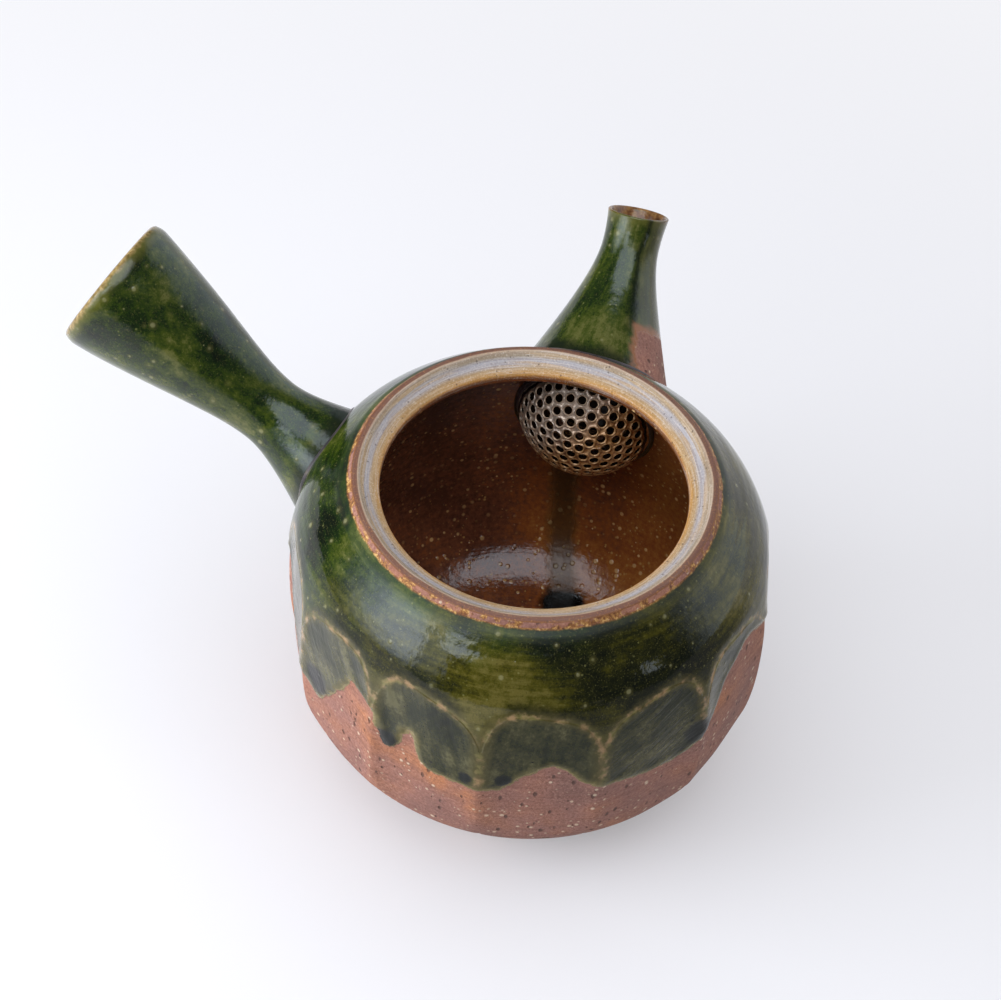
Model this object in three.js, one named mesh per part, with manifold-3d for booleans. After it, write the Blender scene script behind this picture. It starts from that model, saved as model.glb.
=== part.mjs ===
// Side-handled teapot in glazed stoneware, without its lid.
// A thrown bowl, faceted on the outside, carries a spout and a hollow handle that are luted to
// its wall, and a pierced dome that is luted inside it, over the opening into the spout.
// Millimetres, +Z up, origin at the centre of the flat base, +X towards the spout.

import * as THREE from 'three';
import { mergeVertices, toCreasedNormals } from 'three/addons/utils/BufferGeometryUtils.js';
import Module from 'manifold-3d';

const wasm = await Module();
wasm.setup();

// Fits
const clearance = 0.3; // air left between two pieces that are luted together
const slipThickness = 0.8; // the layer of slip in each joint
const slipBead = 0.6; // how far the slip is squeezed out past the joint
const overrun = 20; // extra reach of every cut

// Bowl, outside
const bodyHeight = 82; // base to the top of the lip
const footRadius = 34.5;
const bellyRadius = 56.4;
const bellyHeight = 36;
const neckRadius = 41.5; // where the shoulder runs into the rim
const neckDrop = 1.5; // from the top of the lip down to the neck
const bowlStartOutShare = 0.54; // the bowl's section leaves the foot at a low slope
const bowlStartUpShare = 0.24;
const bowlEndUpShare = 0.64;
const shoulderStartUpShare = 0.81; // the shoulder's section is upright, then turns in sharply
const shoulderEndOutShare = 0.49;
const shoulderEndUpShare = 0.8;

// Facets: flat cuts from the shoulder down to the trimmed underside
const facetCount = 13;
const facetTurn = THREE.MathUtils.degToRad(4.5); // middle of the first facet, from +X towards +Y
const facetTopDepth = 3.3; // how far a cut lies inside the belly's radius, at the top of its arch
const facetTopHeight = 66;
const facetBellyDepth = 2.3;
const facetBellyHeight = 38;
const facetLowDepth = 4.6; // where the trimmed underside takes the facets away
const facetLowHeight = 20;
const facetFootDepth = 10.4;
const facetFootHeight = 4;

// Rim with its sunk lid seat
const lipBevelWidth = 0.8; // each width lies inside the one before it, from the neck inwards
const lipOuterDrop = 0.25;
const lipWidth = 1.4;
const galleryWidth = 1.6;
const seatOuterDrop = 1.6;
const seatWidth = 3.2;
const seatInnerDrop = 3.2;
const seatEdgeThickness = 2.4;
const seatEdgeRound = 0.5;

// Bowl, inside
const floorThickness = 6;
const floorRadius = 26;
const wallThickness = 7.1; // at the belly, before the facets are cut
const cavityBellyHeight = 38;
const cavityFloorOutShare = 0.75;
const cavityWallUpShare = 0.45;
const cavityShoulderUpShare = 0.6;
const cavityShoulderOutShare = 0.75;

// Spout: a flared tube on a curved centre line in the plane of +X
const spoutStartInset = 19.2; // centre line's first point, inside the belly's radius
const spoutStartDrop = 32.6; // below the top of the lip
const spoutBendOut = 7.5; // beyond the belly
const spoutBendDrop = 19.7;
const spoutReach = 30.7; // centre of the spout's mouth, beyond the belly
const spoutMouthRise = 3.9; // above the top of the lip
const spoutMouthRadius = 7.4;
const spoutWaistRadius = 6.8;
const spoutWaistDistance = 8; // back from the mouth
const spoutRootRadius = 27;
const spoutLipWall = 0.9;
const spoutWall = 2.6;
const spoutLipShares = { near: 0.35, far: 0.65, out: 0.3 };
const spoutFlareShares = { near: 0.17, far: 0.45, out: 0.37 };

// Handle: a hollow straight trumpet, open at its end
const handleTurn = THREE.MathUtils.degToRad(79.5); // from +X towards +Y
const handleRise = THREE.MathUtils.degToRad(27.2);
const handleStartInset = 18.4; // centre line's first point, inside the belly's radius
const handleStartDrop = 28.7; // below the top of the lip
const handleLength = 81.4;
const handleEndRadius = 16.2;
const handleWaistRadius = 8.15;
const handleWaistDistance = 47.5; // back from the open end
const handleRootRadius = 21;
const handleLipWall = 1.8;
const handleWall = 3;
const handleTrumpetShares = { near: 0.22, far: 0.45, out: 0.59 };
const handleFlareShares = { near: 0.16, far: 0.43, out: 0.26 };

// Strainer: most of a half ball, pierced, that bulges into the bowl over an opening in its wall
const strainerDrop = 26; // from the top of the lip down to the ball's centre
const strainerRadius = 17.2;
const strainerSet = 1.2; // how far the ball's centre lies beyond the wall of the hollow
const strainerWall = 1.6;
const strainerSkirt = THREE.MathUtils.degToRad(86); // how far round the ball's wall runs
const strainerPierced = THREE.MathUtils.degToRad(62); // how far round the holes go
const holeDiameter = 2;
const holePitch = 2.9;
const wallOpeningRadius = 13;

// How finely round forms are divided
const bodySides = 4 * facetCount;
const tubeSides = 26;
const curveSteps = 7;
const domeSides = 16;
const domeSteps = 5;
const holeSides = 6;
const creaseAngle = THREE.MathUtils.degToRad(24); // faces that meet more sharply show an edge

// Finishes
const greenGlaze = new THREE.MeshStandardMaterial({ color: 0x2c3a16, roughness: 0.15, metalness: 0 });
const amberGlaze = new THREE.MeshStandardMaterial({ color: 0x5a3418, roughness: 0.2, metalness: 0 });
const clay = new THREE.MeshStandardMaterial({ color: 0x9a6650, roughness: 0.85, metalness: 0 });

// Closed geometry to solid, and back

function solidOf(geometry) {
  const bare = geometry.clone();
  bare.deleteAttribute('normal');
  bare.deleteAttribute('uv');
  const merged = mergeVertices(bare);
  const corners = merged.index.array;
  const faces = [];
  for (let i = 0; i < corners.length; i += 3) {
    const [a, b, c] = corners.slice(i, i + 3);
    if (a !== b && b !== c && c !== a) faces.push(a, b, c);
  }
  const vertProperties = merged.attributes.position.array;
  return new wasm.Manifold(new wasm.Mesh({ numProp: 3, vertProperties, triVerts: new Uint32Array(faces) }));
}

function meshOf(name, solid, material) {
  const { vertProperties, triVerts } = solid.getMesh();
  const geometry = new THREE.BufferGeometry();
  geometry.setAttribute('position', new THREE.BufferAttribute(vertProperties, 3));
  geometry.setIndex(new THREE.BufferAttribute(triVerts, 1));
  const mesh = new THREE.Mesh(toCreasedNormals(geometry, creaseAngle), material);
  mesh.name = name;
  return mesh;
}

// Sections are lists of points (radius, height), drawn up the outside of a piece

function between(a, b, share) {
  return a + (b - a) * share;
}

function bezier(start, first, second, end) {
  const points = [start, first, second, end].map(([r, z]) => new THREE.Vector2(r, z));
  return new THREE.CubicBezierCurve(...points).getPoints(curveSteps);
}

// Each point of an open section moved square to the line, outwards where the distance is positive.
function offsetSection(points, distance) {
  return points.map((point, i) => {
    const before = points[Math.max(i - 1, 0)];
    const after = points[Math.min(i + 1, points.length - 1)];
    const along = after.clone().sub(before).normalize();
    return new THREE.Vector2(point.x + along.y * distance, point.y - along.x * distance);
  });
}

// A section turned about the Z axis. Corner number 0 lies at the given turn from +X.
function revolve(points, sides, turn = 0) {
  const geometry = new THREE.LatheGeometry(points, sides, turn + Math.PI / 2);
  return solidOf(geometry.rotateX(Math.PI / 2));
}

// Bowl

const neckHeight = bodyHeight - neckDrop;
const strainerHeight = bodyHeight - strainerDrop;
const lipOuterRadius = neckRadius - lipBevelWidth;
const lipInnerRadius = lipOuterRadius - lipWidth;
const seatOuterRadius = lipInnerRadius - galleryWidth;
const mouthRadius = seatOuterRadius - seatWidth;
const cavityRadius = bellyRadius - wallThickness;

function outerSection() {
  const bowl = bezier(
    [footRadius, 0],
    [between(footRadius, bellyRadius, bowlStartOutShare), bellyHeight * bowlStartUpShare],
    [bellyRadius, bellyHeight * bowlEndUpShare],
    [bellyRadius, bellyHeight],
  );
  const shoulderEndOut = between(neckRadius, bellyRadius, shoulderEndOutShare);
  const shoulder = bezier(
    [bellyRadius, bellyHeight],
    [bellyRadius, between(bellyHeight, neckHeight, shoulderStartUpShare)],
    [shoulderEndOut, between(bellyHeight, neckHeight, shoulderEndUpShare)],
    [neckRadius, neckHeight],
  );
  return [...bowl, ...shoulder.slice(1)];
}

function rimSection() {
  const seatInner = bodyHeight - seatInnerDrop;
  return [
    [lipOuterRadius, bodyHeight - lipOuterDrop],
    [lipInnerRadius, bodyHeight],
    [seatOuterRadius, bodyHeight - seatOuterDrop],
    [mouthRadius + seatEdgeRound, seatInner],
    [mouthRadius, seatInner - seatEdgeRound],
    [mouthRadius, seatInner - seatEdgeThickness + seatEdgeRound],
    [mouthRadius + seatEdgeRound, seatInner - seatEdgeThickness],
  ].map(([r, z]) => new THREE.Vector2(r, z));
}

// From the underside of the seat down to the floor.
function cavitySection() {
  const ceiling = bodyHeight - seatInnerDrop - seatEdgeThickness;
  const shoulder = bezier(
    [mouthRadius + seatEdgeRound, ceiling],
    [between(mouthRadius, cavityRadius, cavityShoulderOutShare), ceiling],
    [cavityRadius, between(cavityBellyHeight, ceiling, cavityShoulderUpShare)],
    [cavityRadius, cavityBellyHeight],
  );
  const bowl = bezier(
    [cavityRadius, cavityBellyHeight],
    [cavityRadius, between(floorThickness, cavityBellyHeight, cavityWallUpShare)],
    [between(floorRadius, cavityRadius, cavityFloorOutShare), floorThickness],
    [floorRadius, floorThickness],
  );
  return [...shoulder, ...bowl.slice(1)];
}

// The solid that the facets leave: an upright prism with curved sides.
function facetSolid(grow) {
  const section = new THREE.SplineCurve([
    new THREE.Vector2(bellyRadius - facetFootDepth, facetFootHeight),
    new THREE.Vector2(bellyRadius - facetLowDepth, facetLowHeight),
    new THREE.Vector2(bellyRadius - facetBellyDepth, facetBellyHeight),
    new THREE.Vector2(bellyRadius - facetTopDepth, facetTopHeight),
  ]).getPoints(2 * curveSteps);
  const cornerStretch = 1 / Math.cos(Math.PI / facetCount);
  const sides = offsetSection(section, grow).map(({ x, y }) => new THREE.Vector2(x * cornerStretch, y));
  const [foot, top] = [sides[0], sides[sides.length - 1]];
  return revolve(
    [
      new THREE.Vector2(0, -overrun),
      new THREE.Vector2(foot.x, -overrun),
      ...sides,
      new THREE.Vector2(top.x, bodyHeight + overrun),
      new THREE.Vector2(0, bodyHeight + overrun),
    ],
    facetCount,
    facetTurn + Math.PI / facetCount,
  );
}

// The bowl without its hollow, grown outwards by a distance that pieces luted to it keep, and led
// straight up from its neck past the rim.
function outerSolid(grow) {
  const section = offsetSection(outerSection(), grow);
  const [foot, neck] = [section[0], section[section.length - 1]];
  const top = bodyHeight + overrun;
  const turned = revolve(
    [new THREE.Vector2(0, foot.y), ...section, new THREE.Vector2(neck.x, top), new THREE.Vector2(0, top)],
    bodySides,
  );
  return turned.intersect(facetSolid(grow));
}

// The hollow of the bowl, drawn in by a distance that pieces luted inside it keep.
function hollowSolid(shrink) {
  const section = offsetSection(cavitySection(), shrink).reverse();
  const [floor, ceiling] = [section[0], section[section.length - 1]];
  return revolve([new THREE.Vector2(0, floor.y), ...section, new THREE.Vector2(0, ceiling.y)], bodySides);
}

function wallOpening() {
  const length = bellyRadius + overrun;
  const plug = new THREE.CylinderGeometry(wallOpeningRadius, wallOpeningRadius, length, tubeSides);
  return solidOf(plug.rotateZ(Math.PI / 2).translate(length / 2, 0, strainerHeight));
}

function body() {
  const section = [
    new THREE.Vector2(0, 0),
    ...outerSection(),
    ...rimSection(),
    ...cavitySection().slice(1),
    new THREE.Vector2(0, floorThickness),
  ];
  return revolve(section, bodySides).intersect(facetSolid(0)).subtract(wallOpening());
}

// Tubes: a closed section of wall, turned about a line and then bent onto a centre line that
// runs from the root, inside the bowl, to the open end

// From the waist out to a wider end: upright at the waist for the near share of the distance,
// and aimed at the end from the far share of it, at the out share of the growth in radius.
function flare(waist, end, shares) {
  return bezier(
    waist,
    [waist[0], between(waist[1], end[1], shares.near)],
    [between(waist[0], end[0], shares.out), between(waist[1], end[1], shares.far)],
    end,
  );
}

function tubeSection(size) {
  const waist = [size.waistRadius, size.length - size.waistDistance];
  const root = flare(waist, [size.rootRadius, 0], size.flareShares).reverse();
  const end = flare(waist, [size.endRadius, size.length], size.endShares);
  const outside = [...root, ...end.slice(1)];
  const inside = outside.map(({ x, y }) => {
    const thickness = between(size.wall, size.lipWall, (y / size.length) ** 2);
    return new THREE.Vector2(x - thickness, y);
  });
  return [...outside, ...inside.reverse(), outside[0].clone()];
}

// The height of each point becomes its distance along the path, which lies in the plane y = 0.
function bendOnto(geometry, path) {
  const position = geometry.attributes.position;
  const side = new THREE.Vector3(0, 1, 0);
  for (let i = 0; i < position.count; i += 1) {
    const share = THREE.MathUtils.clamp(position.getZ(i) / path.getLength(), 0, 1);
    const below = new THREE.Vector3().crossVectors(side, path.getTangentAt(share));
    const point = path.getPointAt(share);
    point.addScaledVector(below, position.getX(i)).addScaledVector(side, position.getY(i));
    position.setXYZ(i, point.x, point.y, point.z);
  }
  return geometry;
}

function tube(size) {
  const geometry = new THREE.LatheGeometry(tubeSection(size), tubeSides).rotateX(Math.PI / 2);
  return solidOf(bendOnto(geometry, size.path).rotateZ(size.turn));
}

// The tube as it is cut to sit on the bowl, with room for its slip.
function lutedTube(size) {
  return tube(size).subtract(outerSolid(clearance + slipThickness + clearance));
}

// The slip between a tube and the bowl, squeezed out in a low bead round the outside.
function tubeSlip(size) {
  const beaded = { ...size, rootRadius: size.rootRadius + slipBead, wall: size.wall + slipBead };
  return tube(beaded).intersect(outerSolid(clearance + slipThickness)).subtract(outerSolid(clearance));
}

function spoutSize() {
  const path = new THREE.QuadraticBezierCurve3(
    new THREE.Vector3(bellyRadius - spoutStartInset, 0, bodyHeight - spoutStartDrop),
    new THREE.Vector3(bellyRadius + spoutBendOut, 0, bodyHeight - spoutBendDrop),
    new THREE.Vector3(bellyRadius + spoutReach, 0, bodyHeight + spoutMouthRise),
  );
  return {
    path,
    turn: 0,
    length: path.getLength(),
    endRadius: spoutMouthRadius,
    waistRadius: spoutWaistRadius,
    waistDistance: spoutWaistDistance,
    rootRadius: spoutRootRadius,
    lipWall: spoutLipWall,
    wall: spoutWall,
    endShares: spoutLipShares,
    flareShares: spoutFlareShares,
  };
}

function handleSize() {
  const start = new THREE.Vector3(bellyRadius - handleStartInset, 0, bodyHeight - handleStartDrop);
  const along = new THREE.Vector3(Math.cos(handleRise), 0, Math.sin(handleRise));
  return {
    path: new THREE.LineCurve3(start, start.clone().addScaledVector(along, handleLength)),
    turn: handleTurn,
    length: handleLength,
    endRadius: handleEndRadius,
    waistRadius: handleWaistRadius,
    waistDistance: handleWaistDistance,
    rootRadius: handleRootRadius,
    lipWall: handleLipWall,
    wall: handleWall,
    endShares: handleTrumpetShares,
    flareShares: handleFlareShares,
  };
}

// Strainer: its ball stands in the wall of the hollow, level with the root of the spout

// Anything built round +Y about the ball's centre, turned to point into the bowl.
function facingIn(geometry) {
  return geometry.rotateZ(Math.PI / 2).translate(cavityRadius + strainerSet, 0, strainerHeight);
}

function arc(radius, from, to) {
  return Array.from({ length: domeSteps + 1 }, (_, i) => {
    const angle = between(from, to, i / domeSteps);
    return new THREE.Vector2(radius * Math.sin(angle), radius * Math.cos(angle));
  });
}

function dome() {
  const inside = arc(strainerRadius - strainerWall, 0, strainerSkirt);
  const outside = arc(strainerRadius, strainerSkirt, 0);
  return solidOf(facingIn(new THREE.LatheGeometry([...inside, ...outside], domeSides)));
}

// Rings of holes about the middle one, all square to the dome.
function strainerHoles() {
  const pitchAngle = holePitch / strainerRadius;
  const depth = 4 * strainerWall;
  const holes = [];
  for (let ring = 0; ring * pitchAngle <= strainerPierced; ring += 1) {
    const inRing = Math.max(1, Math.round(2 * Math.PI * Math.sin(ring * pitchAngle) / pitchAngle));
    for (let i = 0; i < inRing; i += 1) {
      const hole = new THREE.CylinderGeometry(holeDiameter / 2, holeDiameter / 2, depth, holeSides);
      hole.translate(0, strainerRadius, 0).rotateZ(ring * pitchAngle).rotateY(i / inRing * 2 * Math.PI);
      holes.push(solidOf(facingIn(hole)));
    }
  }
  return wasm.Manifold.union(holes);
}

function strainer() {
  return dome().intersect(hollowSolid(clearance + slipThickness + clearance)).subtract(strainerHoles());
}

// The slip between the strainer and the wall, as wide as the strainer's edge and a bead each side.
function strainerSlip() {
  const inside = strainerRadius - strainerWall - slipBead;
  const outside = strainerRadius + slipBead;
  const ring = [[inside, 0], [outside, 0], [outside, strainerRadius], [inside, strainerRadius], [inside, 0]];
  const geometry = new THREE.LatheGeometry(ring.map(([r, z]) => new THREE.Vector2(r, z)), tubeSides);
  const collar = solidOf(facingIn(geometry));
  return collar.intersect(hollowSolid(clearance)).subtract(hollowSolid(clearance + slipThickness));
}

// Assembly

const teapot = new THREE.Group();
teapot.name = 'teapot';
teapot.add(
  meshOf('body', body(), greenGlaze),
  meshOf('spout', lutedTube(spoutSize()), greenGlaze),
  meshOf('spout_slip_joint', tubeSlip(spoutSize()), clay),
  meshOf('handle', lutedTube(handleSize()), greenGlaze),
  meshOf('handle_slip_joint', tubeSlip(handleSize()), clay),
  meshOf('strainer', strainer(), amberGlaze),
  meshOf('strainer_slip_joint', strainerSlip(), clay),
);

export default teapot;
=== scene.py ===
"""Side-handled teapot in copper-green glazed stoneware, without its lid.

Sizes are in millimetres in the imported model's frame: the base's centre is the origin, +Z is up
and +X points towards the spout. Turns are measured from +X towards +Y. A mesh is scaled to
metres when it is made.
"""
from functools import partial

import bpy
import numpy as np
from mathutils import Matrix, Vector
from mathutils.geometry import delaunay_2d_cdt


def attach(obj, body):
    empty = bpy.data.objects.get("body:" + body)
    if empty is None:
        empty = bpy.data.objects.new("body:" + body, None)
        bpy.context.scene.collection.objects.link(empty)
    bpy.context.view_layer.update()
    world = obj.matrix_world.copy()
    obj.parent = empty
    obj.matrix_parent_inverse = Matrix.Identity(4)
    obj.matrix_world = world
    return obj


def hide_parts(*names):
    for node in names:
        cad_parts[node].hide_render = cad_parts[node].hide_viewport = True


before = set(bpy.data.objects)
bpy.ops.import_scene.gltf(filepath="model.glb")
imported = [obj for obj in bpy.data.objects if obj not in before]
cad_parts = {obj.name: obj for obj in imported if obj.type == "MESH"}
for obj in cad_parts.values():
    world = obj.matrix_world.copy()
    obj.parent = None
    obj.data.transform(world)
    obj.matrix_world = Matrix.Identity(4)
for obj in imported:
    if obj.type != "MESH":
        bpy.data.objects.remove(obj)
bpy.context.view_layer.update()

MM = 0.001
FULL_TURN = 2 * np.pi

# Bowl, as the CAD has it
BODY_HEIGHT = 82.0
FOOT_RADIUS = 34.5
FOOT_EDGE_ROUND = 0.9
BELLY_RADIUS = 56.4
BELLY_HEIGHT = 36.0
NECK_RADIUS = 41.5
NECK_HEIGHT = 80.5
FACET_COUNT = 13
FIRST_FACET_TURN = np.radians(4.5)
FACET_HEIGHTS = (4.0, 20.0, 38.0, 66.0)
FACET_DISTANCES = (46.0, 51.8, 54.1, 53.1)
ARRIS_ROUND = 0.5

# Bowl, only here
FACET_SCOOP = 3.2  # 2 would be flat, more is rounder in the middle
FACET_LEANS = (0.3, -0.2, 0.4, -0.4, 0.2, -0.5, 0.9, 0.45, -0.8, 0.3, -0.3, 0.5, -0.2)
ARRIS_GROOVE_DEPTH = 0.18  # the knife's strokes leave a shallow groove where two facets meet
ARRIS_GROOVE_WIDTH = 0.45
OUT_OF_ROUND = ((0.10, 2, 1.0), (0.06, 3, 4.0))  # size, waves round the bowl, phase

# Rim
NECK_SHIFT = (0.7, 0.98)  # the hand-thrown neck sits a little off the bowl's axis
NECK_SHIFT_HEIGHTS = (50, 78)  # where the shift starts and is complete
RIM_WAVE = 0.08  # by how much the rim rises and falls, complete at the second height
RIM_WAVE_HEIGHTS = (60, 80)
LIP_OUTER_RADIUS = 40.7
LIP_OUTER_DROP = 0.25
LIP_INNER_RADIUS = 39.3
SEAT_OUTER_RADIUS = 37.7
SEAT_OUTER_DROP = 1.6
MOUTH_RADIUS = 34.5
SEAT_INNER_DROP = 3.2
SEAT_EDGE_THICKNESS = 2.4

# Hollow
FLOOR_HEIGHT = 6.0
FLOOR_RADIUS = 26.0
CAVITY_RADIUS = 49.3
CAVITY_BELLY_HEIGHT = 38.0
WALL_OPENING_RADIUS = 13.0

# Glaze
GLAZE_THICKNESS = 0.35
GLAZE_ROLL = 0.2  # extra thickness where the glaze stopped running
GLAZE_ROLL_WIDTH = 1.0
GLAZE_RAMP = 1.6  # width over which it thins to its edge
CLAY_ROUGHNESS = 0.78
TUBE_ROUGHNESS = 0.16
TUBE_LIP_WIDTH = 1.6  # of the ochre on the lips of the spout and the handle
RUN_SLOPE, RUN_SHIFT = 0.34, 12.7  # run in the hollow, from above: y = slope * x - shift
POOL_PLACE = (29.0, -2.5, 6.0)  # where it ends on the floor

# Strainer
STRAINER_HEIGHT = 56.0
STRAINER_RADIUS = 17.2
STRAINER_SET = 1.2
STRAINER_WALL = 1.6
STRAINER_PIERCED = np.radians(62)
HOLE_RADIUS = 1.0
HOLE_PITCH = 2.9
HOLE_EDGE_ROUND = 0.28
HOLE_LEVELS = (  # of a hole's wall: how much wider than the hole, and depth below the outside
    (0.13, 0.06), (0.03, 0.16), (0.0, 0.35), (0.0, STRAINER_WALL - 0.3), (0.1, STRAINER_WALL - 0.06),
)
SKIRT_SHARES = (0.985, 0.96, 0.93, 0.90)  # of the way to the strainer's foot: rings of points there

# Joints
JOINT_GAP = 0.75  # from the bowl's wall to the edge of a luted tube
JOINT_SLIP_RADIUS = 0.75
STRAINER_SLIP_RADIUS = 0.9

# Grid
COLUMNS = FACET_COUNT * 34
ARCH_HEIGHTS = (50, 68)  # between them the rows are closest, for the arches over the facets
FOOT_STEPS = 12  # steps of the section that the foot's rounded edge takes the place of
TUBE_COLUMNS = 160
TUBE_OUTER_ROWS = 110
TUBE_BORE_ROWS = 60
TUBE_LIP_ROWS = 9
LAY_RADIUS = 10  # of the straightened tube that the glaze's runs are laid on
BEAD_SIDES = 14
PLUG_SIDES = 96
HOLE_SIDES = 18
SKIRT_STEPS = 120

# Spout and handle: start, bend and end of the centre line as (distance out, height); the shares
# place the middle points of the curves from the waist to both ends
SPOUT = {
    "turn": 0.0,
    "start": (37.2, 49.4), "bend": (63.9, 62.3), "end": (87.1, 85.9),
    "end_radius": 7.4, "waist_radius": 6.8, "waist_distance": 8.0, "root_radius": 27.0,
    "lip_wall": 0.9, "wall": 2.6,
    "end_shares": (0.35, 0.65, 0.3), "root_shares": (0.17, 0.45, 0.37),
}
SPOUT_LIP_SLANT = 0.2
HANDLE_RISE = np.radians(27.2)
HANDLE_LENGTH = 81.4
HANDLE_START = (38.0, 53.3)
HANDLE_END = (
    HANDLE_START[0] + HANDLE_LENGTH * np.cos(HANDLE_RISE),
    HANDLE_START[1] + HANDLE_LENGTH * np.sin(HANDLE_RISE),
)
HANDLE = {
    "turn": np.radians(79.5),
    "start": HANDLE_START,
    "bend": tuple(np.mean([HANDLE_START, HANDLE_END], axis=0)), "end": HANDLE_END,
    "end_radius": 17.0, "waist_radius": 8.15, "waist_distance": 47.5, "root_radius": 21.0,
    "lip_wall": 1.8, "wall": 3.0,
    "end_shares": (0.22, 0.45, 0.59), "root_shares": (0.16, 0.43, 0.26),
}

# Camera: looks down on the pot with the spout at the back and the handle at the left
VIEW_TURN = np.radians(-77.1)  # from +Y to the direction of view
VIEW_DROP = np.radians(48.45)
VIEW_ROLL = np.radians(4.5)
VIEW_DISTANCE = 650.0
VIEW_CENTRE = (-8.15, 0.0, 74.6)  # right of, behind and above the origin, as the camera sees it
LENS_MM = 70.0
SENSOR_MM = 24.0


# Sections and profiles

def bezier(start, first, second, end, steps=160):
    """Cubic curve: the four points weighted by (1-t)^3, 3t(1-t)^2, 3t^2(1-t) and t^3."""
    t = np.linspace(0, 1, steps + 1)[:, None]
    weights = ((1 - t) ** 3, 3 * t * (1 - t) ** 2, 3 * t ** 2 * (1 - t), t ** 3)
    return sum(weight * np.array(point) for weight, point in zip(weights, (start, first, second, end)))


def between(a, b, share):
    return a + (b - a) * share


def smooth_step(low, high, value):
    """0 below low, 1 above high, and 3t^2 - 2t^3 in between."""
    t = np.clip((value - low) / (high - low), 0, 1)
    return t * t * (3 - 2 * t)


def lengths_along(points):
    """Distance from the first point to each point, along the line."""
    steps = np.linalg.norm(np.diff(points, axis=0), axis=1)
    return np.concatenate([[0], np.cumsum(steps)])


def resample(points, spacing):
    """Points at even distances along a line, about one spacing apart."""
    along = lengths_along(points)
    places = np.linspace(0, along[-1], max(2, int(round(along[-1] / spacing)) + 1))
    return np.stack([np.interp(places, along, points[:, i]) for i in range(points.shape[1])], axis=1)


def rounded(points, radii):
    """A line of straight runs whose inner corners are turned into quadratic curves."""
    points = [np.array(point, float) for point in points]
    line = [points[0]]
    for before, corner, after, radius in zip(points, points[1:], points[2:], radii):
        a = corner + (before - corner) * radius / np.linalg.norm(before - corner)
        b = corner + (after - corner) * radius / np.linalg.norm(after - corner)
        line += [(1 - t) ** 2 * a + 2 * t * (1 - t) * corner + t * t * b for t in np.linspace(0, 1, 6)]
    return np.array(line + [points[-1]])


def outer_section():
    """The thrown bowl and shoulder, from the foot up to the neck."""
    bowl = bezier(
        (FOOT_RADIUS, 0),
        (between(FOOT_RADIUS, BELLY_RADIUS, 0.54), BELLY_HEIGHT * 0.24),
        (BELLY_RADIUS, BELLY_HEIGHT * 0.64),
        (BELLY_RADIUS, BELLY_HEIGHT),
    )
    shoulder = bezier(
        (BELLY_RADIUS, BELLY_HEIGHT),
        (BELLY_RADIUS, between(BELLY_HEIGHT, NECK_HEIGHT, 0.81)),
        (between(NECK_RADIUS, BELLY_RADIUS, 0.49), between(BELLY_HEIGHT, NECK_HEIGHT, 0.8)),
        (NECK_RADIUS, NECK_HEIGHT),
    )
    return np.concatenate([bowl, shoulder[1:]])


def rim_section():
    """From the neck over the lip, down the gallery, across the seat and round its inner edge."""
    seat_height = BODY_HEIGHT - SEAT_INNER_DROP
    return rounded([
        (NECK_RADIUS, NECK_HEIGHT),
        (LIP_OUTER_RADIUS, BODY_HEIGHT - LIP_OUTER_DROP),
        (LIP_INNER_RADIUS, BODY_HEIGHT),
        (SEAT_OUTER_RADIUS, BODY_HEIGHT - SEAT_OUTER_DROP),
        (MOUTH_RADIUS, seat_height),
        (MOUTH_RADIUS, seat_height - SEAT_EDGE_THICKNESS),
        (MOUTH_RADIUS + 1.0, seat_height - SEAT_EDGE_THICKNESS - 0.1),
    ], (0.35, 0.4, 0.5, 0.8, 0.5))


def cavity_section():
    """From the underside of the seat down the hollow to its floor."""
    ceiling = BODY_HEIGHT - SEAT_INNER_DROP - SEAT_EDGE_THICKNESS
    shoulder = bezier(
        (MOUTH_RADIUS + 1.0, ceiling - 0.1),
        (between(MOUTH_RADIUS, CAVITY_RADIUS, 0.75), ceiling),
        (CAVITY_RADIUS, between(CAVITY_BELLY_HEIGHT, ceiling, 0.6)),
        (CAVITY_RADIUS, CAVITY_BELLY_HEIGHT),
    )
    bowl = bezier(
        (CAVITY_RADIUS, CAVITY_BELLY_HEIGHT),
        (CAVITY_RADIUS, between(FLOOR_HEIGHT, CAVITY_BELLY_HEIGHT, 0.45)),
        (between(FLOOR_RADIUS, CAVITY_RADIUS, 0.75), FLOOR_HEIGHT),
        (FLOOR_RADIUS, FLOOR_HEIGHT),
    )
    return np.concatenate([shoulder, bowl[1:]])


OUTER = outer_section()
CAVITY = cavity_section()
FACET_CURVE = np.polyfit(FACET_HEIGHTS, FACET_DISTANCES, 3)


def thrown_radius(z):
    return np.interp(z, OUTER[:, 1], OUTER[:, 0])


def cavity_radius(z):
    return np.interp(z, CAVITY[::-1, 1], CAVITY[::-1, 0])


def facet_distance(z):
    """How far a facet lies from the axis, as a cubic in the height."""
    return np.polyval(FACET_CURVE, np.clip(z, FACET_HEIGHTS[0], FACET_HEIGHTS[-1]))


def facet_offset(turn):
    """The turn from the middle of the nearest facet, and that facet's number."""
    step = FULL_TURN / FACET_COUNT
    number = np.round((turn - FIRST_FACET_TURN) / step)
    return turn - FIRST_FACET_TURN - number * step, number.astype(int) % FACET_COUNT


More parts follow.
